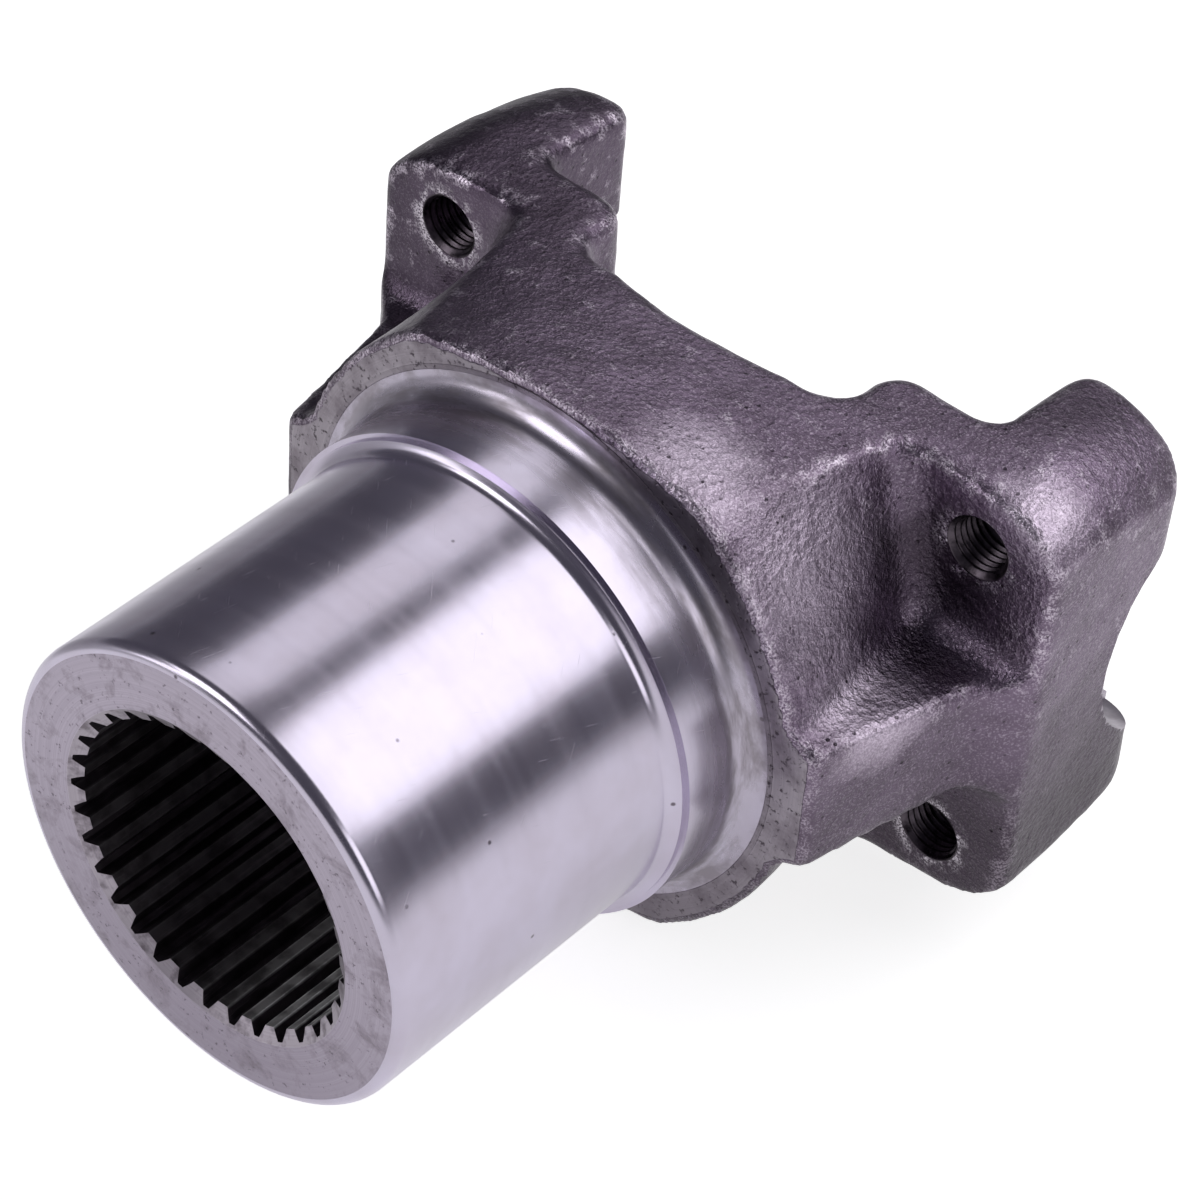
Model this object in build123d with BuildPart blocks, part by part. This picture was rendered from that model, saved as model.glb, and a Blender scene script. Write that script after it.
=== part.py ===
from build123d import *
from math import acos, cos, pi, radians, sin, tan
import os

# A forged end yoke for a driveshaft joint, in one piece: a splined hub with a turned
# seal journal, a body that flares from it, and two arms with half-round bearing seats.
# The origin is the joint's centre, where the seats' axis crosses the hub's.
# X runs across the arms, Y along the hub from its mouth to the seats, and Z is up.
# Distances along the hub are given from its front face, as they are on a drawing.

# hub and journal
journal_d = 60.0
journal_length = 42.6  # from the front face to where the flare starts
front_round = 1.4  # turned corner of the front face
flare_rise = 1.4  # the journal flares by this much before the collar
flare_length = 1.6
collar_d = 64.2
collar_start = 44.7
ring_y = 54.5  # turned ring face where the forging begins
collar_fillet = 3.2

# places along the hub and the arms' reach, on which the sections below depend
lug_front_y = 82.0
seat_y = 109.5  # centre plane of the bearing seats and rear face of the lugs
arm_half_span = 52.0
clear = 8.0  # how far the cutting shapes reach past the surfaces they cut

# internal spline
tooth_count = 32
module_mm = 1.27  # 20 teeth to the inch of pitch diameter
pressure_angle = 30.0
tip_d = 39.86
root_d = 42.6
mouth_chamfer_d = 43.4
mouth_chamfer_depth = 1.0

# recess for the shaft nut, cut from the throat
nut_recess_d = 50.0
nut_seat_y = 64.0

# upper and lower walls: at a distance from the front face, half the height in the
# middle and at the sides, and the rounding towards the sides
wall_sections = (
    (ring_y, 37.0, 13.0, 10.0),
    (68.0, 35.2, 23.4, 11.0),
    (lug_front_y, 33.4, 29.6, 12.0),
    (seat_y + clear, 32.0, 24.6, 20.0),
)
wall_overhang = 2.0  # how far those sections reach past the arms' ends

# body between the ring face and the lugs
waist_half_width = 33.9  # of the body at mid height, where it meets the lugs
rib_half_height = 9.5  # half height of the rib at its root
rib_draft = 2.2  # the rib thins by this much on each side at its outer edge
pocket_fillet = 4.5

# flank of the body in each pocket: at a distance from the front face, its x at the
# rib, then x and z half way up and at the wall; the first row is ahead of the ring face
pocket_sections = (
    (ring_y - clear, 39.4, 34.9, 19.6, 17.1, 35.4),
    (lug_front_y, waist_half_width, 32.2, 20.0, 28.3, 33.5),
)

# arms
rib_root_x = 41.4  # outer face of the rib at the ring face
rib_toe_set_in = 5.4  # the rib ends this far inside the arm's end
rib_toe_y = 77.0
arm_end_y = 82.0  # where the arm's outer end face begins
boss_inner_x = 20.0
boss_rear_y = 92.0
lug_inner_x = 34.6
throat_y = 79.1
throat_half_width = 13.0
throat_rise = 1.8
outer_corner_r = 6.0
lug_corner_r = 3.2
boss_corner_r = 4.5
shoulder_r = 3.0
throat_r = 5.0
toe_r = 9.0
end_r = 3.4
edge_r = 2.2  # rounding of the walls' rear edges
ridge_r = 1.0  # rounding of the walls' front edges, at the pockets

# bearing seats, end lips and strap screws
seat_r = 15.1
seat_span = 92.1  # between the lips that stop the bearing caps
lip_notch_r = 17.0
lip_y = 97.2
screw_spacing_x = 81.8
screw_spacing_z = 46.4
screw_hole_d = 6.9
screw_chamfer_d = 8.6

journal_r = journal_d / 2
collar_r = collar_d / 2
pitch_r = tooth_count * module_mm / 2
base_r = pitch_r * cos(radians(pressure_angle))
web_y = throat_y + throat_rise
max_half_height = wall_sections[0][1]
envelope_x = arm_half_span + wall_overhang
rib_toe_x = arm_half_span - rib_toe_set_in
overlap = 0.5  # how far joined shapes reach into each other
touch = 0.01  # points nearer than this are the same point

plan = Plane(origin=(0, -seat_y, 0))  # seen from above, its own y runs from the front face


def cross_plane(y):
    """Plane across the hub, at a distance from its front face: its own y is Z."""
    return Plane.XZ.offset(seat_y - y)


def involute(angle):
    """Involute function of a pressure angle in radians."""
    return tan(angle) - angle


def flank_point(r, side):
    """Point at radius r on one flank of the tooth space that is centred on the x axis."""
    at_pitch = pi / (2 * tooth_count) + involute(radians(pressure_angle))
    angle = side * (at_pitch - involute(acos(base_r / r)))
    return (r * cos(angle), r * sin(angle))


def at(x, y):
    """Filter for the corners of a plan sketch at x or -x, and y."""
    return lambda v: abs(abs(v.X) - x) + abs(v.Y - y) < touch


# Envelope: the upper and lower walls fall from the round ring to the nearly flat lugs,
# and the corners towards the arms' ends grow rounder towards the rear.
with BuildPart() as envelope:
    for y, middle, edge, corner_r in wall_sections:
        with BuildSketch(cross_plane(y)) as wall_section:
            with BuildLine():
                top = ThreePointArc((-envelope_x, edge), (0, middle), (envelope_x, edge))
                right = Line(top @ 1, (envelope_x, -edge))
                bottom = ThreePointArc(right @ 1, (0, -middle), (-envelope_x, -edge))
                Line(bottom @ 1, top @ 0)
            make_face()
            fillet(wall_section.vertices(), corner_r)
    loft()

# Plan of the body and arms, seen from above, cut to the envelope.
with BuildPart() as body:
    with BuildSketch(plan) as outline:
        with BuildLine():
            front = Line((0, ring_y), (rib_root_x, ring_y))
            rib = Line(front @ 1, (rib_toe_x, rib_toe_y))
            toe = Line(rib @ 1, (arm_half_span, arm_end_y))
            end = Line(toe @ 1, (arm_half_span, seat_y))
            rear = Line(end @ 1, (lug_inner_x, seat_y))
            shoulder = Line(rear @ 1, (lug_inner_x, boss_rear_y))
            boss = Line(shoulder @ 1, (boss_inner_x, boss_rear_y))
            inner = Line(boss @ 1, (boss_inner_x, web_y))
            web = Line(inner @ 1, (throat_half_width, web_y))
            mirror(about=Plane.YZ)
            ThreePointArc(web @ 1, (0, throat_y), (-throat_half_width, web_y))
        make_face()
        for x, y, r in (
            (rib_toe_x, rib_toe_y, toe_r),
            (arm_half_span, arm_end_y, end_r),
            (arm_half_span, seat_y, outer_corner_r),
            (lug_inner_x, seat_y, lug_corner_r),
            (lug_inner_x, boss_rear_y, shoulder_r),
            (boss_inner_x, boss_rear_y, boss_corner_r),
            (boss_inner_x, web_y, throat_r),
        ):
            fillet(outline.vertices().filter_by(at(x, y)), r)
    extrude(amount=max_half_height + clear, both=True)
    add(envelope.part, mode=Mode.INTERSECT)
    rear_edges = body.edges().filter_by(lambda e: e.center().Y > rib_toe_y - seat_y)
    fillet(rear_edges.filter_by(Axis.Z, reverse=True), edge_r)

# One pocket between the rib and a wall, in the quarter towards +X and +Z.
with BuildPart() as pocket:
    for y, bed_x, belly_x, belly_z, corner_x, corner_z in pocket_sections:
        with BuildSketch(cross_plane(y)):
            with BuildLine():
                bed = Line((arm_half_span + clear, rib_half_height - rib_draft), (bed_x, rib_half_height))
                flank = ThreePointArc(bed @ 1, (belly_x, belly_z), (corner_x, corner_z))
                roof = Line(flank @ 1, (arm_half_span + clear, max_half_height + clear))
                Line(roof @ 1, bed @ 0)
            make_face()
    loft(ruled=True)
    deep_corner = Vector(waist_half_width, lug_front_y - seat_y, rib_half_height)
    corner_edges = pocket.edges().filter_by(lambda e: e.distance_to(deep_corner) < touch)
    fillet(corner_edges, pocket_fillet)

# Bore and tooth spaces of the spline, as a section across the hub.
with BuildSketch(cross_plane(nut_seat_y + overlap)) as spline_section:
    Circle(tip_d / 2)
    with BuildSketch(mode=Mode.PRIVATE) as tooth_space:
        flank_radii = (tip_d / 2 - overlap, pitch_r, root_d / 2)
        with BuildLine():
            lower = Spline(*(flank_point(r, -1) for r in flank_radii))
            upper = Spline(*(flank_point(r, 1) for r in flank_radii))
            ThreePointArc(lower @ 1, (root_d / 2, 0), upper @ 1)
            Line(lower @ 0, upper @ 0)
        make_face()
    with PolarLocations(0, tooth_count):
        add(tooth_space.sketch)

# The yoke itself.
with BuildPart() as yoke:
    add(body.part)
    mouths = []
    for quarter in (pocket.part, pocket.part.mirror(Plane.XY)):
        for cutter in (quarter, quarter.mirror(Plane.YZ)):
            add(cutter, mode=Mode.SUBTRACT)
            mouths += yoke.edges(Select.NEW)
    fillet([e for e in mouths if e.center().Y > ring_y - seat_y + overlap], ridge_r)

    # turned outside of the hub
    with BuildSketch(plan) as turning:
        with BuildLine():
            face = Line((0, 0), (journal_r, 0))
            journal = Line(face @ 1, (journal_r, journal_length))
            flare_end = (journal_r + flare_rise, journal_length + flare_length)
            TangentArc(journal @ 1, flare_end, tangent=journal % 1)
            Polyline(
                flare_end,
                (journal_r + flare_rise, collar_start),
                (collar_r, collar_start),
                (collar_r, ring_y),
                (collar_r + collar_fillet + overlap, ring_y),
                (collar_r + collar_fillet + overlap, ring_y + overlap),
                (0, ring_y + overlap),
                face @ 0,
            )
        make_face()
        fillet(turning.vertices().filter_by(at(journal_r, 0)), front_round)
        fillet(turning.vertices().filter_by(at(collar_r, ring_y)), collar_fillet)
    revolve(axis=Axis.Y)

    # splined bore, the chamfer at its mouth, and the nut's recess
    extrude(spline_section.sketch, amount=nut_seat_y + clear, mode=Mode.SUBTRACT)
    with BuildSketch(plan):
        with BuildLine():
            Polyline(
                (0, 0),
                (mouth_chamfer_d / 2, 0),
                (tip_d / 2, mouth_chamfer_depth),
                (0, mouth_chamfer_depth),
                close=True,
            )
        make_face()
        with Locations((nut_recess_d / 4, (nut_seat_y + seat_y) / 2)):
            Rectangle(nut_recess_d / 2, seat_y - nut_seat_y)
    revolve(axis=Axis.Y, mode=Mode.SUBTRACT)

    # bearing seats, and the notches in the lips at their ends
    Cylinder(seat_r, seat_span, rotation=(0, 90, 0), mode=Mode.SUBTRACT)
    notch_length = arm_half_span - seat_span / 2 + clear
    with Locations((0, lip_y - seat_y + lip_notch_r)):
        with GridLocations(seat_span + notch_length, 0, 2, 1):
            Cylinder(lip_notch_r, notch_length, rotation=(0, 90, 0), mode=Mode.SUBTRACT)

    # tapped holes for the straps' screws
    with BuildSketch(cross_plane(seat_y)):
        with GridLocations(screw_spacing_x, screw_spacing_z, 2, 2):
            Circle(screw_hole_d / 2)
    extrude(amount=seat_y - lug_front_y, mode=Mode.SUBTRACT)
    round_edges = yoke.edges().filter_by(GeomType.CIRCLE)
    rims = round_edges.filter_by(lambda e: abs(e.radius - screw_hole_d / 2) < touch)
    chamfer(rims, (screw_chamfer_d - screw_hole_d) / 2)

yoke.part.label = "yoke"
os.makedirs("parts", exist_ok=True)
export_step(yoke.part, "parts/yoke.step")
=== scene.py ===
from math import acos, cos, pi, radians, sin, sqrt, tan

import bmesh
import bpy
import numpy as np
from mathutils import Matrix, Vector, kdtree, noise


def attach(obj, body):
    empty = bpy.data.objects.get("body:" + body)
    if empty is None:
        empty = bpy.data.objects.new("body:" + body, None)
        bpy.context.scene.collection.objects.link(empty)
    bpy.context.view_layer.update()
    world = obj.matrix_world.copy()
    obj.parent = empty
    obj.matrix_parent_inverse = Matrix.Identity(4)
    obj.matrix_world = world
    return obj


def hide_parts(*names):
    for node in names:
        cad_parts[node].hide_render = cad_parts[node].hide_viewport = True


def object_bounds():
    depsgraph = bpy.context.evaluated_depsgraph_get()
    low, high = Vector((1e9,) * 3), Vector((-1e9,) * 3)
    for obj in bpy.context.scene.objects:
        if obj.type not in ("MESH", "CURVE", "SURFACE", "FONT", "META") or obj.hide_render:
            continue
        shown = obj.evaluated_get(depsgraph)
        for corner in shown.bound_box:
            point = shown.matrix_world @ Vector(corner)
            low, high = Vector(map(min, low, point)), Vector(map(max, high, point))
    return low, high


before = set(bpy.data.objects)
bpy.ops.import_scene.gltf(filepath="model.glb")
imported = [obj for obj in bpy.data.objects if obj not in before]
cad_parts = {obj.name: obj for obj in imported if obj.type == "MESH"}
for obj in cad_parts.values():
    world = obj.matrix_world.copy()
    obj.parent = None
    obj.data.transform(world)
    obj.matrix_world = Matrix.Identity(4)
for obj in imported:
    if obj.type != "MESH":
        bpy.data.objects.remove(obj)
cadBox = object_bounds()

# A forged end yoke of bare steel. Lengths are in millimetres in the part's frame: the
# bearing seats' axis is at y = 0, the hub's front face at frontY, and the ring face,
# where the forging begins, at ringY.
mm = 0.001
frontY = round(cadBox[0].y / mm, 1)
ringY = -55.0


# sRGB hex code to linear colour
def colour(hexCode):
    channels = [int(hexCode[i:i + 2], 16) / 255 for i in (1, 3, 5)]
    linear = [c / 12.92 if c <= 0.04045 else ((c + 0.055) / 1.055) ** 2.4 for c in channels]
    return (*linear, 1.0)


# texture scale for features of this many millimetres
def perMetre(size):
    return 1 / (size * mm)


# adds a node; its inputs are values, sockets or nodes, in order or by name
def addNode(tree, kind, inputs=(), **settings):
    node = tree.nodes.new("ShaderNode" + kind)
    for name, value in settings.items():
        setattr(node, name, value)
    for place, value in inputs.items() if isinstance(inputs, dict) else enumerate(inputs):
        if isinstance(value, bpy.types.Node):
            value = value.outputs[0]
        if isinstance(value, bpy.types.NodeSocket):
            tree.links.new(value, node.inputs[place])
        else:
            node.inputs[place].default_value = value
    return node


# all the finishes are bare steel, so they start as a full metal with the default IOR
def startSteel(name):
    material = bpy.data.materials.new(name)
    material.use_nodes = True
    tree = material.node_tree
    tree.nodes.clear()
    shader = addNode(tree, "BsdfPrincipled", {"Metallic": 1.0})
    addNode(tree, "OutputMaterial", {"Surface": shader})
    point = addNode(tree, "TexCoord").outputs["Object"]
    return material, tree, shader, point


# depth is the real height in millimetres of a height of one
def finishSteel(tree, shader, base, roughness, height, depth):
    bump = addNode(tree, "Bump", {"Height": height, "Distance": depth * mm})
    for name, source in (("Base Color", base), ("Roughness", roughness), ("Normal", bump)):
        tree.links.new(source.outputs[0], shader.inputs[name])


# distance from an axis along y through the origin of these points
def fromAxis(tree, point):
    flat = addNode(tree, "VectorMath", (point, (1, 0, 1)), operation="MULTIPLY")
    return addNode(tree, "VectorMath", (flat,), operation="LENGTH").outputs["Value"]


# Ring face: steel turned through the forged skin in one rough pass, which leaves it dull
# grey, with tool rings, grime and pits that the cut laid open, and painted shade that makes
# it darker towards the bottom. The real rings are about 0.2 mm apart, too fine to show, so
# they are drawn at 0.45 mm.
ringFinish = {"toolRing": 0.45, "grime": 4.0, "pits": 0.9}


def ringLook(tree, point):
    z = addNode(tree, "SeparateXYZ", (point,)).outputs["Z"]
    across = addNode(tree, "CombineXYZ", (fromAxis(tree, point),))
    rings = addNode(tree, "TexNoise", {
        "Vector": across, "Scale": perMetre(ringFinish["toolRing"]), "Detail": 3.0,
    })
    grime = addNode(tree, "TexNoise", {
        "Vector": point, "Scale": perMetre(ringFinish["grime"]), "Detail": 4.0, "Roughness": 0.65,
    })
    pits = addNode(tree, "TexNoise", {
        "Vector": point, "Scale": perMetre(ringFinish["pits"]), "Detail": 3.0, "Roughness": 0.65,
    })
    pitted = addNode(tree, "MapRange", (pits, 0.57, 0.67, 0.0, 1.0))
    base = colour("#8c858d")
    for amount, tone in (
        (addNode(tree, "MapRange", (rings, 0.3, 0.7)), "#a49da5"),
        (addNode(tree, "MapRange", (grime, 0.42, 0.66, 0.0, 0.7)), "#6a616a"),
        # painted shade: darker towards the bottom
        (addNode(tree, "MapRange", (z, 0.0, -30 * mm, 0.0, 0.5)), "#5d555e"),
        (pitted, "#4c444c"),
    ):
        base = addNode(tree, "MixRGB", (amount, base, colour(tone)))
    height = addNode(tree, "Math", (rings, pitted), operation="SUBTRACT")
    return base, height


def makeRingFace():
    material, tree, shader, point = startSteel("roughTurnedSteel")
    base, height = ringLook(tree, point)
    roughness = addNode(tree, "MapRange", (height, -0.5, 0.7, 0.48, 0.36))
    finishSteel(tree, shader, base, roughness, height, 0.03)
    return material


# Forged skin: steel, hot-forged and then shot-blasted, which leaves it dark, uneven and
# dimpled. It has painted glints on its grains, ridges that are worn pale and are painted
# brighter towards the top as a highlight, painted highlights in spots, painted shade in its
# corners, on one arm and towards the bottom, and darker spots on the lug fronts and on one
# lug's top. Its real grit is about 0.1 mm, and is drawn at 0.28 mm to show.
# Each spot is a centre, a radius and a strength.
skin = {
    "grit": 0.28, "dimple": 0.85, "lump": 2.2, "pitCell": 1.5, "blotch": 6.0, "patch": 24.0,
    # darker spots on the two lug fronts and on one lug's top
    "darkSpots": (
        ((37.0, -28.5, 20.0), 9.0, 0.72),
        ((-37.0, -28.5, -20.0), 9.0, 0.72),
        ((38.0, -8.0, 31.0), 9.0, 0.4),
    ),
    # painted highlights: pale spots on the lit flanks, a lug's shoulder and the rib's top, faint on
    # the other arm
    "paintedHighlights": (
        ((30.0, -45.0, 23.0), 12.0, 0.78),
        ((17.0, -50.0, 35.0), 8.3, 0.78),
        ((47.0, -24.5, 30.5), 6.5, 0.76),
        ((41.0, -45.0, 10.0), 8.0, 0.85),
        ((-17.0, -50.0, -35.0), 9.0, 0.3),
        ((-47.0, -24.5, -30.5), 6.5, 0.3),
    ),
    "sway": 0.25, "swarfR": 4.6, "swarfReach": 6.2, "depth": 0.24,
}


def makeForgedSkin():
    material, tree, shader, point = startSteel("shotBlastedForgedSteel")
    x, y, z = addNode(tree, "SeparateXYZ", (point,)).outputs
    grit, lump, blotch, patch = (
        addNode(tree, "TexNoise", {
            "Vector": point, "Scale": perMetre(skin[name]), "Detail": detail,
            "Roughness": rough, "Distortion": bend,
        })
        for name, detail, rough, bend in (
            ("grit", 2.0, 0.6, 0.0), ("lump", 3.0, 0.55, 0.0),
            ("blotch", 4.0, 0.65, 0.0), ("patch", 4.0, 0.6, 0.6),
        )
    )
    # dimples of the shot, bent by the grit so that they aren't round
    sway = (skin["sway"] * mm,) * 3
    bent = addNode(tree, "VectorMath", (grit.outputs["Color"], sway, point), operation="MULTIPLY_ADD")
    dimple = addNode(tree, "TexVoronoi", {"Vector": bent, "Scale": perMetre(skin["dimple"])})

    # round pits, in about half of the cells of a pattern
    cells = addNode(tree, "TexVoronoi", {"Vector": point, "Scale": perMetre(skin["pitCell"])})
    picked = addNode(tree, "SeparateColor", (cells.outputs["Color"],))
    pits = addNode(tree, "MapRange", (cells.outputs["Distance"], 0.10, 0.18, 1.0, 0.0))
    for gate in (
        addNode(tree, "MapRange", (picked, 0.35, 0.45, 0.0, 1.0)),
        addNode(tree, "MapRange", (blotch, 0.35, 0.6, 0.25, 1.0)),
    ):
        pits = addNode(tree, "Math", (pits, gate), operation="MULTIPLY")

    # the mesh says how far each point stands out, and noise breaks the worn ridges up; the
    # ridges are worn pale and are also a painted highlight, brighter towards the top
    standOut = addNode(tree, "Attribute", attribute_name="standOut").outputs["Fac"]
    ragged = addNode(tree, "Math", (lump, 1.5, -0.75), operation="MULTIPLY_ADD")
    ragged = addNode(tree, "Math", (ragged, standOut), operation="ADD")
    ridgeWearAndHighlight = addNode(tree, "MapRange", (ragged, 0.15, 0.48, 0.0, 1.0))
    for gate in (
        addNode(tree, "MapRange", (patch, 0.40, 0.60, 0.65, 1.0)),
        addNode(tree, "MapRange", (z, 0.0, 20 * mm, 0.25, 0.85)),
        addNode(tree, "MapRange", (grit, 0.42, 0.56, 0.05, 1.0)),
    ):
        ridgeWearAndHighlight = addNode(tree, "Math", (ridgeWearAndHighlight, gate), operation="MULTIPLY")
    # painted shade: darker in the corners, where the surface sinks in
    corner = addNode(tree, "MapRange", (standOut, -0.06, -0.35, 0.0, 0.85))

    # painted shade: one arm and the underside are painted darker, and have fewer painted glints
    aside = addNode(tree, "Math", (patch, 30 * mm, x), operation="MULTIPLY_ADD")
    aside = addNode(tree, "MapRange", (aside, 12 * mm, -35 * mm, 0.0, 0.85))
    below = addNode(tree, "MapRange", (z, 12 * mm, -18 * mm, 0.0, 0.9))
    # painted glints: pale specks on the grains, fewer in the painted shade
    paintedGlints = addNode(tree, "MapRange", (grit, 0.52, 0.66, 0.0, 0.35))
    for gate in (
        addNode(tree, "MapRange", (aside, 0.0, 0.5, 1.0, 0.3)),
        addNode(tree, "MapRange", (below, 0.0, 0.9, 1.0, 0.3)),
    ):
        paintedGlints = addNode(tree, "Math", (paintedGlints, gate), operation="MULTIPLY")

    # a spot with a blotched edge, which fades from its outer to its inner share of the radius
    def spot(centre, reach, amount, outer, inner):
        reach = reach * mm
        away = addNode(tree, "VectorMath", (point, [c * mm for c in centre]), operation="DISTANCE")
        away = away.outputs["Value"]
        away = addNode(tree, "Math", (blotch, reach * 0.9, away), operation="MULTIPLY_ADD")
        return addNode(tree, "MapRange", (away, reach * outer, reach * inner, 0.0, amount))

    # painted highlights: pale grainy spots where the piece is lit
    paintedHighlights = []
    for centre, reach, amount in skin["paintedHighlights"]:
        near = spot(centre, reach, amount, 1.6, 0.8)
        grains = addNode(tree, "MapRange", (grit, 0.42, 0.58, 0.6, 1.0))
        paintedHighlights.append((addNode(tree, "Math", (near, grains), operation="MULTIPLY"), "#dccde0"))

    # a pale burr of swarf around each tapped hole
    folded = addNode(tree, "VectorMath", (point,), operation="ABSOLUTE")
    hole = (screws["x"] * mm, 0, screws["z"] * mm)
    folded = addNode(tree, "VectorMath", (folded, hole), operation="SUBTRACT")
    limits = (skin["swarfReach"] * mm, skin["swarfR"] * mm, 0.0, 0.9)
    swarf = addNode(tree, "MapRange", (fromAxis(tree, folded), *limits))
    for gate in (
        addNode(tree, "MapRange", (lump, 0.44, 0.56)),
        addNode(tree, "MapRange", (grit, 0.42, 0.56)),
    ):
        swarf = addNode(tree, "Math", (swarf, gate), operation="MULTIPLY")

    base = colour("#6c5e70")
    for amount, tone in [
        (addNode(tree, "MapRange", (patch, 0.35, 0.65)), "#827287"),
        (addNode(tree, "MapRange", (blotch, 0.45, 0.70, 0.0, 0.6)), "#574b59"),
        (aside, "#3f3642"),
        (below, "#423a43"),
        (corner, "#3d343f"),
        *paintedHighlights,
        (paintedGlints, "#d6c9da"),
        (ridgeWearAndHighlight, "#e6dae9"),
        (addNode(tree, "Math", (pits, 0.8), operation="MULTIPLY"), "#2e272e"),
        # darker spots on the lug fronts and on one lug's top
        *((spot(*place, 1.5, 0.9), "#2f282f") for place in skin["darkSpots"]),
        (swarf, "#ddd5df"),
    ]:
        base = addNode(tree, "MixRGB", (amount, base, colour(tone)))
    roughness = addNode(tree, "MapRange", (patch, 0.3, 0.7, 0.36, 0.28))
    height = 0.0
    for texture, share in ((grit, 0.42), (dimple, 0.36), (lump, 0.6), (pits, -0.35)):
        height = addNode(tree, "Math", (texture, share, height), operation="MULTIPLY_ADD")
    # the bump is weaker on the arm with painted shade
    oilAndShade = addNode(tree, "MapRange", (aside, 0.0, 0.85, 1.0, 0.5))
    height = addNode(tree, "Math", (height, oilAndShade), operation="MULTIPLY")

    # the ring face and the pads are cut flat, up to the edge where the skin rolls away
    edge = addNode(tree, "Math", (lump, 0.10 * mm, y), operation="MULTIPLY_ADD")
    front = addNode(tree, "MapRange", (edge, (ringY + 0.14) * mm, (ringY + 0.11) * mm, 0.0, 1.0))
    rear = addNode(tree, "MapRange", (edge, -0.10 * mm, -0.07 * mm, 0.0, 1.0))
    flat = addNode(tree, "Math", (front, rear), operation="MAXIMUM")
    cutBase, cutHeight = ringLook(tree, point)
    cutHeight = addNode(tree, "Math", (cutHeight, 0.12), operation="MULTIPLY")
    base = addNode(tree, "MixRGB", (flat, base, cutBase))
    height = addNode(tree, "MixRGB", (flat, height, cutHeight))
    finishSteel(tree, shader, base, roughness, height, skin["depth"])
    return material


# Journal and collar: steel finish-turned for a seal lip, which leaves it bright, with long
# soft reflections, a few handling scratches and dents, and grime past the flare. Its real
# feed is about 0.1 mm, and is drawn at 0.35 mm to show. Each set of scratches is a twist
# in radians per metre, a length and how rare they are.
turned = {
    "feed": 0.35, "sweep": 3.5, "tint": 9.0, "dentCell": 3.4, "streak": 1.1,
    "scratchWidth": 0.12, "scratches": ((12.0, 6.0, 0.73), (-29.0, 5.0, 0.73)),
    "grimeStart": -57.5, "grimeEnd": -49.0,
}


def makeTurnedSteel():
    material, tree, shader, point = startSteel("finishTurnedSteel")
    x, y, z = addNode(tree, "SeparateXYZ", (point,)).outputs
    angle = addNode(tree, "Math", (z, x), operation="ARCTAN2")
    along = addNode(tree, "CombineXYZ", (y,))
    feed = addNode(tree, "TexNoise", {
        "Vector": along, "Scale": perMetre(turned["feed"]), "Detail": 4.0, "Roughness": 0.6,
    })
    sweep = addNode(tree, "TexNoise", {
        "Vector": along, "Scale": perMetre(turned["sweep"]), "Roughness": 0.6,
    })
    tint = addNode(tree, "TexNoise", {
        "Vector": point, "Scale": perMetre(turned["tint"]), "Detail": 3.0, "Roughness": 0.6,
    })

    # fine scratches along a helix: noise that is squeezed around the hub
    marks = 0.0
    for twist, length, level in turned["scratches"]:
        lean = addNode(tree, "Math", (y, twist, angle), operation="MULTIPLY_ADD")
        squeezed = hub["journalR"] * mm * length / turned["scratchWidth"]
        across, up = (addNode(tree, "Math", (lean,), operation=part) for part in ("COSINE", "SINE"))
        across = addNode(tree, "Math", (across, squeezed), operation="MULTIPLY")
        up = addNode(tree, "Math", (up, squeezed), operation="MULTIPLY")
        wound = addNode(tree, "CombineXYZ", (across, y, up))
        lines = addNode(tree, "TexNoise", {"Vector": wound, "Scale": perMetre(length)})
        lines = addNode(tree, "MapRange", (lines, level, level + 0.06))
        marks = addNode(tree, "Math", (lines, marks), operation="MAXIMUM")

    # small dents, in a fifth of the cells of a pattern
    cells = addNode(tree, "TexVoronoi", {"Vector": point, "Scale": perMetre(turned["dentCell"])})
    picked = addNode(tree, "SeparateColor", (cells.outputs["Color"],))
    picked = addNode(tree, "MapRange", (picked, 0.80, 0.84))
    dents = addNode(tree, "MapRange", (cells.outputs["Distance"], 0.06, 0.11, 1.0, 0.0))
    dents = addNode(tree, "Math", (dents, picked), operation="MULTIPLY")

    # grime that runs around the hub, from the flare to the fillet
    limits = (turned["grimeStart"] * mm, turned["grimeEnd"] * mm, 0.0, 0.8)
    grime = addNode(tree, "Math", (tint, 12 * mm, y), operation="MULTIPLY_ADD")
    grime = addNode(tree, "MapRange", (grime, *limits))
    around = addNode(tree, "VectorMath", (point, (0.15, 1, 0.15)), operation="MULTIPLY")
    streak = addNode(tree, "TexNoise", {
        "Vector": around, "Scale": perMetre(turned["streak"]), "Detail": 4.0, "Roughness": 0.65,
    })
    streak = addNode(tree, "MapRange", (streak, 0.40, 0.60, 0.35, 1.0))
    grime = addNode(tree, "Math", (grime, streak), operation="MULTIPLY")

    base = colour("#cbc4d6")
    for amount, tone in (
        (addNode(tree, "MapRange", (tint, 0.35, 0.7)), "#c3bbcb"),
        (addNode(tree, "Math", (marks, 0.12), operation="MULTIPLY"), "#a79faa"),
        (dents, "#6f6671"),
        (grime, "#7f787d"),
    ):
        base = addNode(tree, "MixRGB", (amount, base, colour(tone)))
    roughness = addNode(tree, "MapRange", (sweep, 0.3, 0.7, 0.20, 0.27))
    for mark, share in ((marks, 0.08), (grime, 0.14)):
        roughness = addNode(tree, "Math", (mark, share, roughness), operation="MULTIPLY_ADD")
    height = 0.0
    for texture, share in ((feed, 0.25), (marks, -0.15), (dents, -1.0)):
        height = addNode(tree, "Math", (texture, share, height), operation="MULTIPLY_ADD")
    finishSteel(tree, shader, base, roughness, height, 0.012)
    return material


# Front face: steel faced across, which leaves it dull and paler than the forging, with
# fine rings and old stains, and painted shade that makes it darker towards the bottom. The
# real rings are about 0.1 mm apart, drawn at 0.22 mm to show.
faced = {"ring": 0.22, "band": 1.1, "stain": 5.0, "speck": 0.7}


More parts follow.
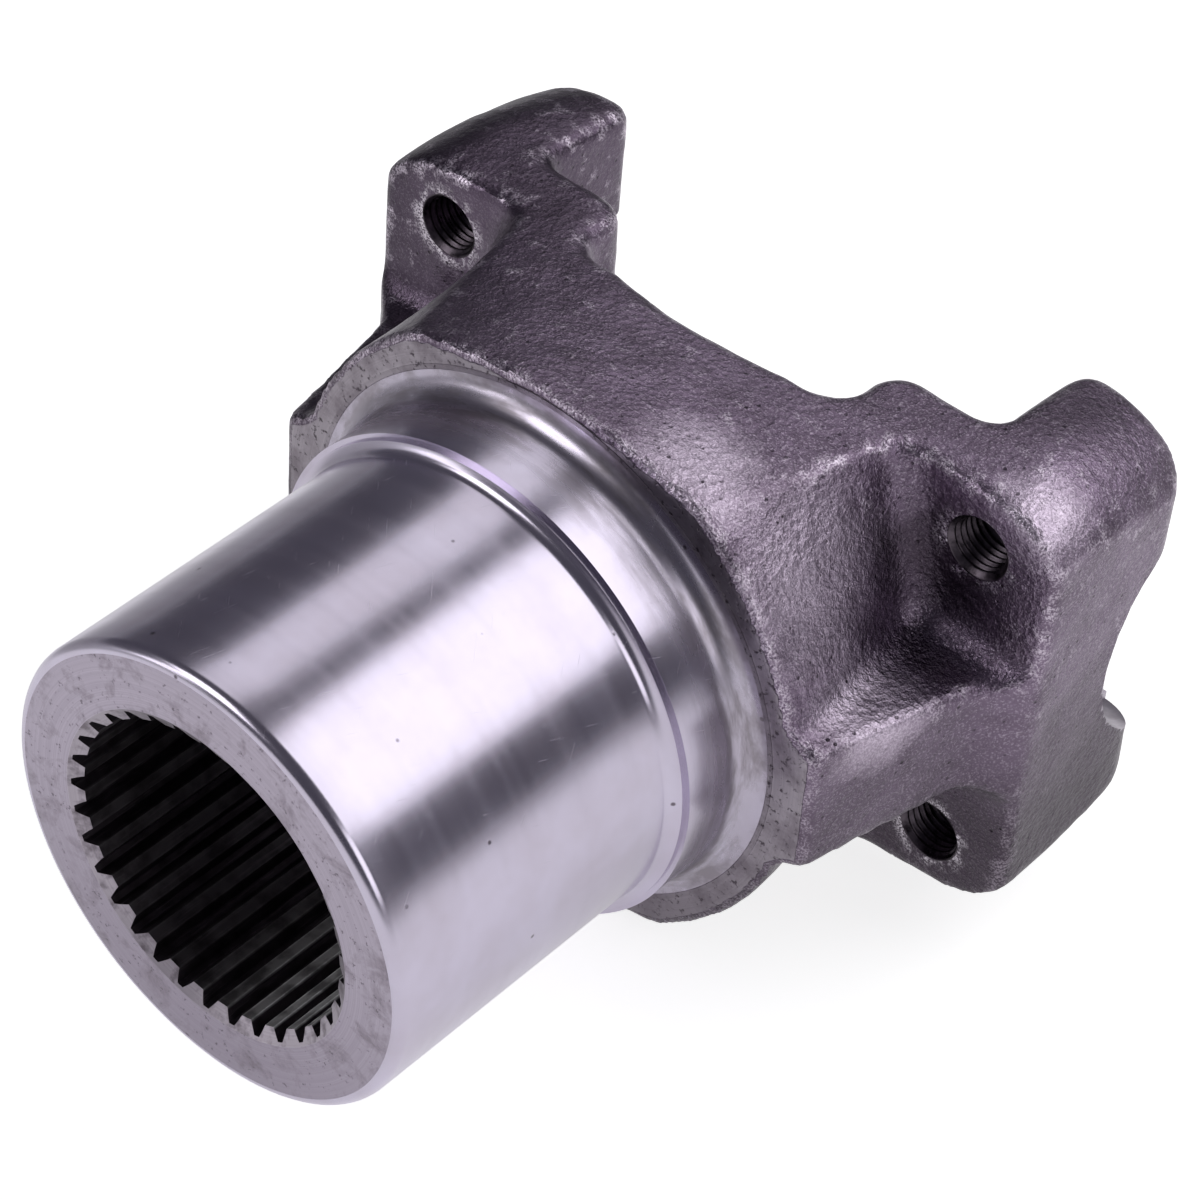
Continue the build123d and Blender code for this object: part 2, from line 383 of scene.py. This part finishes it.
def makeFacedSteel():
    material, tree, shader, point = startSteel("facedSteel")
    z = addNode(tree, "SeparateXYZ", (point,)).outputs["Z"]
    across = addNode(tree, "CombineXYZ", (fromAxis(tree, point),))
    ring = addNode(tree, "TexNoise", {
        "Vector": across, "Scale": perMetre(faced["ring"]), "Detail": 4.0, "Roughness": 0.6,
    })
    band = addNode(tree, "TexNoise", {
        "Vector": across, "Scale": perMetre(faced["band"]), "Roughness": 0.6,
    })
    stain = addNode(tree, "TexNoise", {
        "Vector": point, "Scale": perMetre(faced["stain"]), "Detail": 5.0, "Roughness": 0.7,
        "Distortion": 0.4,
    })
    speck = addNode(tree, "TexNoise", {
        "Vector": point, "Scale": perMetre(faced["speck"]), "Roughness": 0.6,
    })
    base = colour("#a79ead")
    for amount, tone in (
        (addNode(tree, "MapRange", (ring, 0.3, 0.7)), "#c1b8c7"),
        (addNode(tree, "MapRange", (band, 0.4, 0.7, 0.0, 0.35)), "#9d94a3"),
        # painted shade: darker towards the bottom
        (addNode(tree, "MapRange", (z, 5 * mm, -28 * mm, 0.0, 0.5)), "#8d8493"),
        (addNode(tree, "MapRange", (stain, 0.50, 0.68, 0.0, 0.75)), "#7a707b"),
        (addNode(tree, "MapRange", (speck, 0.64, 0.72, 0.0, 0.7)), "#5d545e"),
    ):
        base = addNode(tree, "MixRGB", (amount, base, colour(tone)))
    roughness = addNode(tree, "MapRange", (stain, 0.4, 0.7, 0.42, 0.34))
    height = addNode(tree, "Math", (speck, 0.7, ring), operation="MULTIPLY_ADD")
    finishSteel(tree, shader, base, roughness, height, 0.012)
    return material


# Bore: steel broached in one stroke and left under dark oil, which makes it nearly black,
# with fine lines along the teeth. The tooth corners are worn bright, and are painted
# brighter still as a highlight on the side that faces the light.
broached = {"film": 3.0, "stroke": 0.5, "strokeStretch": 0.08, "litSide": (0.88, 0, -0.47)}


def makeBroachedBore():
    material, tree, shader, point = startSteel("oiledBroachedSteel")
    film = addNode(tree, "TexNoise", {
        "Vector": point, "Scale": perMetre(broached["film"]), "Detail": 4.0, "Roughness": 0.6,
    })
    stretch = (1, broached["strokeStretch"], 1)
    stretched = addNode(tree, "VectorMath", (point, stretch), operation="MULTIPLY")
    stroke = addNode(tree, "TexNoise", {
        "Vector": stretched, "Scale": perMetre(broached["stroke"]), "Detail": 3.0, "Roughness": 0.6,
    })
    wearAndHighlight = addNode(tree, "Attribute", attribute_name="tipEdge").outputs["Fac"]
    # painted highlight: the tooth edges are brighter on the side that faces the light
    side = addNode(tree, "VectorMath", (point, broached["litSide"]), operation="DOT_PRODUCT")
    side = addNode(tree, "MapRange", (side.outputs["Value"], 6 * mm, 17 * mm, 0.12, 1.0))
    wearAndHighlight = addNode(tree, "Math", (wearAndHighlight, side), operation="MULTIPLY")
    base = colour("#544d54")
    for amount, tone in (
        (wearAndHighlight, "#ffffff"),
        (addNode(tree, "MapRange", (film, 0.42, 0.62, 0.0, 0.55)), "#3a3439"),
        (addNode(tree, "MapRange", (stroke, 0.55, 0.75, 0.0, 0.35)), "#9a929a"),
    ):
        base = addNode(tree, "MixRGB", (amount, base, colour(tone)))
    roughness = addNode(tree, "MapRange", (film, 0.35, 0.65, 0.5, 0.4))
    roughness = addNode(tree, "Math", (wearAndHighlight, 0.45, roughness), operation="MULTIPLY_ADD")
    finishSteel(tree, shader, base, roughness, stroke, 0.03)
    return material


# Mouth: steel with a turned chamfer across the tooth ends, which leaves them pale and a
# little stained. The rings are about 0.1 mm apart, drawn at 0.18 mm to show.
mouth = {"ring": 0.18, "stain": 2.2}


def makeMouthChamfer():
    material, tree, shader, point = startSteel("chamferedSteel")
    across = addNode(tree, "CombineXYZ", (fromAxis(tree, point),))
    ring = addNode(tree, "TexNoise", {
        "Vector": across, "Scale": perMetre(mouth["ring"]), "Detail": 3.0, "Roughness": 0.6,
    })
    stain = addNode(tree, "TexNoise", {
        "Vector": point, "Scale": perMetre(mouth["stain"]), "Detail": 3.0, "Roughness": 0.6,
    })
    base = colour("#9b939d")
    for amount, tone in (
        (addNode(tree, "MapRange", (ring, 0.3, 0.7)), "#b9b1bb"),
        (addNode(tree, "MapRange", (stain, 0.48, 0.66, 0.0, 0.7)), "#5d545c"),
    ):
        base = addNode(tree, "MixRGB", (amount, base, colour(tone)))
    roughness = addNode(tree, "MapRange", (stain, 0.4, 0.7, 0.34, 0.45))
    finishSteel(tree, shader, base, roughness, ring, 0.01)
    return material


# Seats, lips and the nut's recess: steel bored and milled, which leaves it clean and
# fairly bright, with feed lines across the seats and a thin film of oil. The real feed
# is about 0.15 mm, drawn at 0.3 mm to show.
milled = {"feed": 0.3, "film": 6.0}


def makeMilledSteel():
    material, tree, shader, point = startSteel("milledSteel")
    along = addNode(tree, "CombineXYZ", (addNode(tree, "SeparateXYZ", (point,)),))
    feed = addNode(tree, "TexNoise", {
        "Vector": along, "Scale": perMetre(milled["feed"]), "Detail": 4.0, "Roughness": 0.6,
    })
    film = addNode(tree, "TexNoise", {
        "Vector": point, "Scale": perMetre(milled["film"]), "Detail": 4.0, "Roughness": 0.6,
    })
    base = colour("#aaa2ad")
    for amount, tone in (
        (addNode(tree, "MapRange", (feed, 0.3, 0.7)), "#c1bac4"),
        (addNode(tree, "MapRange", (film, 0.48, 0.70, 0.0, 0.6)), "#7b727c"),
    ):
        base = addNode(tree, "MixRGB", (amount, base, colour(tone)))
    roughness = addNode(tree, "MapRange", (film, 0.35, 0.65, 0.30, 0.38))
    finishSteel(tree, shader, base, roughness, feed, 0.012)
    return material


# Threads: steel tapped with a dark cutting oil that is still in them, which makes them
# nearly black with wet glints
tapped = {"film": 2.0, "grain": 0.25}


def makeThreadSteel():
    material, tree, shader, point = startSteel("tappedSteel")
    film = addNode(tree, "TexNoise", {
        "Vector": point, "Scale": perMetre(tapped["film"]), "Detail": 3.0, "Roughness": 0.6,
    })
    grain = addNode(tree, "TexNoise", {"Vector": point, "Scale": perMetre(tapped["grain"])})
    oilAndShade = addNode(tree, "MapRange", (film, 0.4, 0.65))
    base = addNode(tree, "MixRGB", (oilAndShade, colour("#5a525a"), colour("#262126")))
    roughness = addNode(tree, "MapRange", (film, 0.4, 0.65, 0.38, 0.26))
    finishSteel(tree, shader, base, roughness, grain, 0.01)
    return material


def newObject(name, data):
    piece = bpy.data.objects.new(name, data)
    bpy.context.scene.collection.objects.link(piece)
    return piece


# mesh from points in millimetres, closed ones with their faces turned outwards
def meshFrom(name, corners, faces, closed=True):
    mesh = bpy.data.meshes.new(name)
    mesh.from_pydata([tuple(p) for p in np.asarray(corners) * mm], [], [tuple(f) for f in faces])
    if closed:
        work = bmesh.new()
        work.from_mesh(mesh)
        bmesh.ops.recalc_face_normals(work, faces=work.faces)
        work.to_mesh(mesh)
        work.free()
    mesh.update()
    return mesh


# faces of a closed grid: rows of points, each joined to the next and the last to the first
def gridFaces(rows, columns):
    grid = np.arange(rows * columns).reshape(rows, columns)
    nextRow = np.roll(grid, -1, axis=0)
    quads = [grid, np.roll(grid, -1, axis=1), np.roll(nextRow, -1, axis=1), nextRow]
    return np.stack(quads, -1).reshape(-1, 4)


# Turned hub: one closed sheet of rings around the axis, with the teeth in its bore. Its
# ring stands proud of the forging by a hair, so that the two never share a surface.
hub = {
    "journalR": 30.0, "frontRound": 1.4, "flareStart": -66.9, "flareR": 31.4, "flareLength": 1.6,
    "collarStart": -64.8, "collarMiddle": -62.0, "collarR": 32.1, "collarFillet": 3.2,
    "rimR": 35.4, "ringR": 36.0, "proud": 0.06, "lap": 1.0,
    "chamferR": 21.7, "chamferDepth": 1.0, "boreEnd": -45.5, "boreRows": (-70.0, -95.0),
    "backR": 22.0, "teeth": 32, "module": 1.27, "pressureAngle": 30.0, "tipR": 19.93, "rootR": 21.3,
    "flankPoints": 6, "tipPoints": 4, "landInset": 0.3, "landWearAndHighlight": 0.5, "sharpAngle": 28.0,
}
ringFace = makeRingFace()
turnedSteel = makeTurnedSteel()
facedSteel = makeFacedSteel()
broachedBore = makeBroachedBore()
mouthChamfer = makeMouthChamfer()
milledSteel = makeMilledSteel()
print("hub finishes done")


def involute(r, baseR):
    angle = acos(baseR / r)
    return tan(angle) - angle


# angle, bore radius and worn edge of each column, tooth by tooth, with true involute flanks;
# the worn edge is also painted as a highlight in the bore's finish
def boreColumns():
    pitchR = hub["teeth"] * hub["module"] / 2
    baseR = pitchR * cos(radians(hub["pressureAngle"]))
    half = pi / hub["teeth"]
    flank = []
    for r in np.linspace(hub["tipR"], hub["rootR"], hub["flankPoints"]):
        angle = half / 2 + involute(pitchR, baseR) - involute(r, baseR)
        flank.append((angle, r, float(r == hub["tipR"])))
    space = [(-a, r, wearAndHighlight) for a, r, wearAndHighlight in flank] + [(0.0, hub["rootR"], 0.0)] + flank[::-1]
    landStart = flank[0][0]
    inset = (half - landStart) * hub["landInset"]
    for angle in np.linspace(landStart + inset, 2 * half - landStart - inset, hub["tipPoints"]):
        space.append((angle, hub["tipR"], hub["landWearAndHighlight"]))
    columns = [
        (2 * half * tooth + a, r, wearAndHighlight) for tooth in range(hub["teeth"]) for a, r, wearAndHighlight in space
    ]
    return np.array(columns).T


angles, boreR, tipEdge = boreColumns()
chamferRise = hub["chamferDepth"] / (hub["chamferR"] - hub["tipR"])
faceR = hub["journalR"] - hub["frontRound"]
filletStart = ringY - hub["collarFillet"]
flareRise = hub["flareR"] - hub["journalR"]
flareArc = (flareRise ** 2 + hub["flareLength"] ** 2) / (2 * flareRise)

# each row is a radius, a place along the hub and the finish of the band that ends there
profile = [(boreR, hub["boreEnd"], milledSteel)]
profile += [(boreR, y, broachedBore) for y in hub["boreRows"]]
profile += [
    (boreR, frontY + (hub["chamferR"] - boreR) * chamferRise, broachedBore),
    (hub["chamferR"], frontY, mouthChamfer),
]
profile += [(r, frontY, facedSteel) for r in np.linspace(hub["chamferR"], faceR, 5)[1:]]
for a in np.linspace(0, pi / 2, 6)[1:-1]:
    r = faceR + hub["frontRound"] * sin(a)
    profile.append((r, frontY + hub["frontRound"] * (1 - cos(a)), turnedSteel))
for y in np.linspace(frontY + hub["frontRound"], hub["flareStart"], 12):
    profile.append((hub["journalR"], y, turnedSteel))
for step in np.linspace(0, hub["flareLength"], 7)[1:]:
    lift = flareArc - sqrt(flareArc ** 2 - step ** 2)
    profile.append((hub["journalR"] + lift, hub["flareStart"] + step, turnedSteel))
profile += [
    (hub["flareR"], hub["collarStart"], turnedSteel),
    (hub["collarR"], hub["collarStart"], turnedSteel),
    (hub["collarR"], hub["collarMiddle"], turnedSteel),
    (hub["collarR"], filletStart, turnedSteel),
]
for a in np.linspace(0, pi / 2, 9)[1:]:
    r = hub["collarR"] + hub["collarFillet"] * (1 - cos(a))
    profile.append((r, filletStart + hub["collarFillet"] * sin(a), turnedSteel))
profile += [
    (hub["rimR"], ringY - hub["proud"], ringFace),
    (hub["ringR"], ringY - hub["proud"], ringFace),
    (hub["ringR"], ringY + hub["lap"], ringFace),
    (hub["backR"], ringY + hub["lap"], ringFace),
    (hub["backR"], hub["boreEnd"], ringFace),
]

rows = []
for r, y, finish in profile:
    r, y = np.broadcast_arrays(r, y, angles)[:2]
    rows.append(np.c_[r * np.cos(angles), y, r * np.sin(angles)])
hubMesh = meshFrom("turnedHub", np.vstack(rows), gridFaces(len(rows), len(angles)))
hubPiece = newObject("turnedHub", hubMesh)
hubFinishes = [milledSteel, broachedBore, mouthChamfer, facedSteel, turnedSteel, ringFace]
for finish in hubFinishes:
    hubMesh.materials.append(finish)
bands = [hubFinishes.index(profile[(row + 1) % len(rows)][2]) for row in range(len(rows))]
hubMesh.polygons.foreach_set("material_index", np.repeat(bands, len(angles)).astype(np.int32))
wear = hubMesh.attributes.new("tipEdge", "FLOAT", "POINT")
wear.data.foreach_set("value", np.tile(tipEdge, len(rows)).astype(np.float32))
hubMesh.shade_smooth()
hubMesh.set_sharp_from_angle(angle=radians(hub["sharpAngle"]))
print("hub done", len(hubMesh.polygons), "faces")

# Threads: four tapped holes for the straps' screws, from front to rear through each lug
screws = {
    "x": 40.9, "z": 23.2, "front": -27.5, "rear": 0.0, "minorR": 3.45, "majorR": 4.0, "pitch": 1.0,
    "steepness": 2.6, "rootFlat": 0.15, "rimR": 4.3, "plugR": 4.4, "outerR": 4.35, "endGap": 0.02,
    "columns": 40, "perTurn": 7,
}
threadSteel = makeThreadSteel()


# sleeve whose inner surface is a true helical thread, opening to the rim at both ends
def threadSleeve(name, centre):
    length = screws["rear"] - screws["front"]
    ringCount = int(length / screws["pitch"] * screws["perTurn"])
    along = np.linspace(screws["endGap"], length - screws["endGap"], ringCount)
    turns = np.linspace(0, 2 * pi, screws["columns"], endpoint=False)
    a, t = np.meshgrid(along, turns, indexing="ij")
    phase = (a / screws["pitch"] - t / (2 * pi)) % 1.0
    crest = np.clip(np.abs(phase - 0.5) * screws["steepness"] - screws["rootFlat"], 0, 1)
    inner = screws["majorR"] - (screws["majorR"] - screws["minorR"]) * crest
    inner = np.maximum(inner, screws["rimR"] - np.minimum(a, length - a))
    a = np.vstack([a, np.full((1, len(turns)), along[-1]), np.full((1, len(turns)), along[0])])
    r = np.vstack([inner, np.full((2, len(turns)), screws["outerR"])])
    t = np.vstack([t, t[:2]])
    corners = np.stack([r * np.cos(t), screws["front"] + a, r * np.sin(t)], -1).reshape(-1, 3)
    mesh = meshFrom(name, corners + np.array(centre), gridFaces(len(a), len(turns)))
    mesh.materials.append(threadSteel)
    mesh.shade_smooth()
    return newObject(name, mesh)


holes = [(side * screws["x"], 0.0, up * screws["z"]) for side in (1, -1) for up in (1, -1)]
sleeves = [threadSleeve(f"screwThread{number}", centre) for number, centre in enumerate(holes, 1)]
print("threads done")

# Forged body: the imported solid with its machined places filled, given the uneven
# surface of a forging, and then machined again
body = {
    "voxel": 0.85, "smoothing": 2, "lump": 6.0, "lumpDepth": 0.13, "dent": 1.9, "dentDepth": 0.055,
    "flatEdge": 0.2, "flatFade": 0.8, "sharpAngle": 38.0, "relaxRounds": 10,
    "seatR": 15.1, "seatEnd": 46.05, "notchR": 17.0, "notchY": 4.7,
    "recessR": 25.0, "recessFront": -45.5, "lugInner": 34.6, "lugOuter": round(cadBox[1].x / mm, 1),
    "innerRound": 3.2, "outerRound": 6.0, "plugFront": -17.0, "plugHalf": 18.0, "plugMargin": 0.5,
    "cutMargin": 4.0, "onCut": 0.12, "onFlat": 0.02,
}
forgedSkin = makeForgedSkin()


def cylinderMesh(r, start, end, axis, centre=(0.0, 0.0, 0.0), sides=192):
    turns = np.linspace(0, 2 * pi, sides, endpoint=False)
    rim = np.zeros((sides, 3))
    rim[:, (axis + 1) % 3] = r * np.cos(turns)
    rim[:, (axis + 2) % 3] = r * np.sin(turns)
    along = np.zeros(3)
    along[axis] = 1.0
    corners = np.vstack([rim + along * start, rim + along * end]) + np.array(centre)
    faces = [(i, (i + 1) % sides, sides + (i + 1) % sides, sides + i) for i in range(sides)]
    faces += [tuple(range(sides)), tuple(range(2 * sides - 1, sides - 1, -1))]
    return meshFrom("cylinder", corners, faces)


# block that fills one arm's seat and lip notch, with the rounded corners of the arm's plan
def seatPlug(side):
    outline = [(body["lugInner"], body["plugFront"]), (body["lugOuter"], body["plugFront"])]
    for middle, r, start in (
        (body["lugOuter"] - body["outerRound"], body["outerRound"], 0.0),
        (body["lugInner"] + body["innerRound"], body["innerRound"], pi / 2),
    ):
        for a in np.linspace(0, pi / 2, 9):
            outline.append((middle + r * cos(start + a), r * (sin(start + a) - 1)))
    count = len(outline)
    heights = (-body["plugHalf"], body["plugHalf"])
    corners = [(side * x, y, z) for z in heights for x, y in outline]
    faces = [(i, (i + 1) % count, count + (i + 1) % count, count + i) for i in range(count)]
    faces += [tuple(range(count)), tuple(range(count, 2 * count))]
    return meshFrom("plug", corners, faces)


def applyModifier(piece, kind, **settings):
    modifier = piece.modifiers.new(kind, kind)
    for name, value in settings.items():
        setattr(modifier, name, value)
    shaped = piece.evaluated_get(bpy.context.evaluated_depsgraph_get())
    shape = bpy.data.meshes.new_from_object(shaped)
    piece.modifiers.clear()
    piece.data = shape


def cutAway(piece, mesh):
    cutter = newObject("cutter", mesh)
    applyModifier(piece, "BOOLEAN", operation="DIFFERENCE", solver="MANIFOLD", object=cutter)
    bpy.data.objects.remove(cutter)


# vertex or face values of a mesh, three to a row
def rowsOf(items, name):
    flat = np.empty(len(items) * 3, np.float32)
    items.foreach_get(name, flat)
    return flat.reshape(-1, 3).astype(float)


bodyPiece = newObject("forgedBody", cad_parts["yoke"].data.copy())
work = bmesh.new()
work.from_mesh(bodyPiece.data)
bmesh.ops.remove_doubles(work, verts=work.verts, dist=1e-6)
for side in (1, -1):
    work.from_mesh(seatPlug(side))
for centre in holes:
    work.from_mesh(cylinderMesh(screws["plugR"], screws["front"], screws["rear"], 1, centre, 48))
# the nut's recess is filled from ahead of its floor to inside the throat's wall
recessPlugR = body["recessR"] + body["plugMargin"]
work.from_mesh(cylinderMesh(recessPlugR, ringY - 2, body["recessFront"] + 2.5, 1))
work.to_mesh(bodyPiece.data)
work.free()
applyModifier(bodyPiece, "REMESH", mode="VOXEL", voxel_size=body["voxel"] * mm)
applyModifier(bodyPiece, "SMOOTH", factor=0.5, iterations=body["smoothing"])
print("forging remeshed", len(bodyPiece.data.polygons), "faces")

# lumps and dents, none near the faces that are cut flat
rest = rowsOf(bodyPiece.data.vertices, "co") / mm
normals = rowsOf(bodyPiece.data.vertex_normals, "vector")
depth = np.array([
    body["lumpDepth"] * noise.noise(Vector(p / body["lump"]))
    + body["dentDepth"] * noise.noise(Vector(p / body["dent"]))
    for p in rest
])
nearRear = np.clip((-body["flatEdge"] - rest[:, 1]) / body["flatFade"], 0, 1)
nearRing = np.clip((rest[:, 1] - ringY) / body["flatFade"], 0, 1)
moved = rest + normals * (depth * nearRear * nearRing)[:, None]
moved[:, 1] = np.minimum(moved[:, 1], 0.0)
bodyPiece.data.vertices.foreach_set("co", (moved * mm).astype(np.float32).ravel())
bodyPiece.data.update()

# how far each point stands out of the relaxed surface: ridges are positive, corners negative
ends = np.empty(len(bodyPiece.data.edges) * 2, np.int32)
bodyPiece.data.edges.foreach_get("vertices", ends)
ends = ends.reshape(-1, 2)
neighbours = np.bincount(ends.ravel(), minlength=len(moved))[:, None]
relaxed = moved.copy()
for _ in range(body["relaxRounds"]):
    total = np.zeros_like(relaxed)
    np.add.at(total, ends[:, 0], relaxed[ends[:, 1]])
    np.add.at(total, ends[:, 1], relaxed[ends[:, 0]])
    relaxed = (relaxed + total / neighbours) / 2
standOut = ((moved - relaxed) * normals).sum(1)
nearest = kdtree.KDTree(len(moved))
for index, p in enumerate(moved):
    nearest.insert(p, index)
nearest.balance()

# the cuts, whose cutters reach past what they open: the seat of the hub's ring, the bore,
# the nut's recess, the bearing seats, the lip notches and the screw holes
armEnd = body["lugOuter"] + body["cutMargin"]
cutAway(bodyPiece, cylinderMesh(hub["ringR"] - 0.2, frontY - 5, ringY + 0.1, 1))
cutAway(bodyPiece, cylinderMesh(hub["backR"], ringY - 1, body["recessFront"] + 0.01, 1))
cutAway(bodyPiece, cylinderMesh(body["recessR"], body["recessFront"], 5, 1))
cutAway(bodyPiece, cylinderMesh(body["seatR"], -body["seatEnd"], body["seatEnd"], 0))
for start, end in ((-armEnd, -body["seatEnd"]), (body["seatEnd"], armEnd)):
    cutAway(bodyPiece, cylinderMesh(body["notchR"], start, end, 0, (0, body["notchY"], 0)))
for centre in holes:
    cutAway(bodyPiece, cylinderMesh(screws["rimR"], screws["front"] - 3, 3, 1, centre, 64))
print("forging machined", len(bodyPiece.data.polygons), "faces")

# the faces that were bored or milled get their own finish
cx, cy, cz = (rowsOf(bodyPiece.data.polygons, "center") / mm).T
fromSeat = np.hypot(cy, cz)
fromNotch = np.hypot(cy - body["notchY"], cz)
fromHub = np.hypot(cx, cz)
fromEnd = np.abs(cx) - body["seatEnd"]
milledFaces = (np.abs(fromSeat - body["seatR"]) < body["onCut"]) & (fromEnd < body["onFlat"])
milledFaces |= (np.abs(fromNotch - body["notchR"]) < body["onCut"]) & (fromEnd > -body["onFlat"])
milledFaces |= (np.abs(fromEnd) < body["onFlat"]) & (fromSeat < body["notchR"])
milledFaces |= (np.abs(fromHub - body["recessR"]) < body["onCut"]) & (cy > body["recessFront"])
milledFaces |= (np.abs(cy - body["recessFront"]) < 0.05) & (fromHub < body["recessR"])
bodyPiece.data.materials.clear()
for finish in (forgedSkin, milledSteel):
    bodyPiece.data.materials.append(finish)
bodyPiece.data.polygons.foreach_set("material_index", milledFaces.astype(np.int32))
ridges = bodyPiece.data.attributes.new("standOut", "FLOAT", "POINT")
ridges.data.foreach_set("value", np.array([
    standOut[nearest.find(p)[1]] for p in rowsOf(bodyPiece.data.vertices, "co") / mm
], np.float32))
bodyPiece.data.shade_smooth()
bodyPiece.data.set_sharp_from_angle(angle=radians(body["sharpAngle"]))
print("forged body done")

for piece in [bodyPiece, hubPiece] + sleeves:
    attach(piece, "root")
    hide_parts("yoke")

# Floor: matt white paper. It glows in what the camera and the metal see of it, so that
# it looks white at a plain light level. The metal sees less of it on the left and far to
# the right, where a real sheet ends or is darker.
paper = {
    "half": 2500.0, "colour": "#d8d8d8", "cameraGlow": (0.78, 1.0), "farOff": (0.25, 0.9),
    "mirrorGlow": 0.51, "leftEdge": (-0.168, -0.12), "rightEdge": (0.3, 0.9), "rightEnd": 0.3,
}
half = paper["half"]
sheet = [(-half, -half, 0), (half, -half, 0), (half, half, 0), (-half, half, 0)]
floor = newObject("floor", meshFrom("floor", sheet, [(0, 1, 2, 3)], closed=False))
floor.location.z = cadBox[0].z
whitePaper = bpy.data.materials.new("whitePaper")
whitePaper.use_nodes = True
tree = whitePaper.node_tree
tree.nodes.clear()
place = addNode(tree, "TexCoord").outputs["Object"]
away = addNode(tree, "VectorMath", (place,), operation="LENGTH").outputs["Value"]
cameraGlow = addNode(tree, "MapRange", (away, *paper["farOff"], *paper["cameraGlow"]))
sideways = addNode(tree, "SeparateXYZ", (place,)).outputs["X"]
leftFade = addNode(tree, "MapRange", (sideways, *paper["leftEdge"], 0.0, paper["mirrorGlow"]))
rightFade = addNode(tree, "MapRange", (sideways, *paper["rightEdge"], 1.0, paper["rightEnd"]))
rays = addNode(tree, "LightPath").outputs
mirrored = addNode(tree, "Math", (leftFade, rightFade), operation="MULTIPLY")
mirrored = addNode(tree, "Math", (mirrored, rays["Is Glossy Ray"]), operation="MULTIPLY")
direct = addNode(tree, "Math", (rays["Is Camera Ray"], rays["Is Transmission Ray"]), operation="ADD")
glow = addNode(tree, "Math", (direct, cameraGlow, mirrored), operation="MULTIPLY_ADD")
matte = addNode(tree, "BsdfDiffuse", {"Color": colour(paper["colour"])})
lit = addNode(tree, "AddShader", (matte, addNode(tree, "Emission", {"Strength": glow})))
addNode(tree, "OutputMaterial", {"Surface": lit})
floor.data.materials.append(whitePaper)

# Studio: soft boxes in a dim room, their long edges along the hub, so that the journal
# shows straight bands. The room is white behind the piece and, for the metal, down at the
# horizon where the paper ends. Above that the metal sees dim walls, which give it its
# dark bands.
# Each box is its direction, its distance and size in metres, and its power in watts.
room = {"colour": "#8b8996", "strength": 0.30, "mirrorEdge": (0.02, -0.01), "aim": (0, -0.07, 0)}
softBoxes = {
    "mainBox": ((0.403, 0.574, 0.713), 0.9, (0.82, 0.80), 3.5),
    "sideBox": ((-0.378, 0.574, 0.726), 0.9, (0.38, 0.80), 0.95),
    "rightBox": ((0.90, -0.10, 0.42), 0.9, (0.5, 0.5), 1.3),
    "frontBox": ((-0.45, -0.65, 0.61), 1.0, (0.5, 0.5), 2.4),
    "lowBox": ((-0.66, -0.74, 0.14), 0.9, (0.45, 0.2), 0.6),
}
world = bpy.data.worlds.new("room")
bpy.context.scene.world = world
world.use_nodes = True
tree = world.node_tree
tree.nodes.clear()
rays = addNode(tree, "LightPath").outputs
facing = addNode(tree, "TexCoord").outputs["Generated"]
facing = addNode(tree, "SeparateXYZ", (facing,)).outputs["Z"]
low = addNode(tree, "MapRange", (facing, *room["mirrorEdge"]))
mirrored = addNode(tree, "Math", (rays["Is Glossy Ray"], low), operation="MULTIPLY")
direct = addNode(tree, "Math", (rays["Is Camera Ray"], rays["Is Transmission Ray"]), operation="ADD")
seen = addNode(tree, "Math", (direct, mirrored), operation="MAXIMUM")
walls = addNode(tree, "MixRGB", (seen, colour(room["colour"]), colour("#ffffff")))
level = addNode(tree, "MapRange", (seen, 0.0, 1.0, room["strength"], 1.0))
addNode(tree, "OutputWorld", {"Surface": addNode(tree, "Background", (walls, level))})
for name, (direction, distance, size, power) in softBoxes.items():
    light = bpy.data.lights.new(name, "AREA")
    light.shape = "RECTANGLE"
    light.size, light.size_y = size
    light.energy = power
    lamp = newObject(name, light)
    outward = Vector(direction).normalized()
    across = Vector((0, 1, 0)).cross(outward).normalized()
    lamp.location = Vector(room["aim"]) + outward * distance
    lamp.rotation_euler = Matrix((across, outward.cross(across), outward)).transposed().to_euler()

# Camera at the photograph's viewing angle, in metres
view = {
    "place": (0.2128, -0.3141, 0.3210), "lens": 118.35, "sensor": 36.0,
    "right": (0.748, 0.661, 0.061), "up": (-0.487, 0.484, 0.727), "back": (0.451, -0.574, 0.684),
}
cameraData = bpy.data.cameras.new("camera")
cameraData.sensor_width = view["sensor"]
cameraData.lens = view["lens"]
camera = newObject("camera", cameraData)
turn = Matrix((view["right"], view["up"], view["back"])).transposed()
camera.matrix_world = Matrix.Translation(view["place"]) @ turn.to_4x4()
bpy.context.scene.camera = camera
bpy.context.scene.view_settings.view_transform = "Standard"
print("studio done")

bpy.context.view_layer.update()
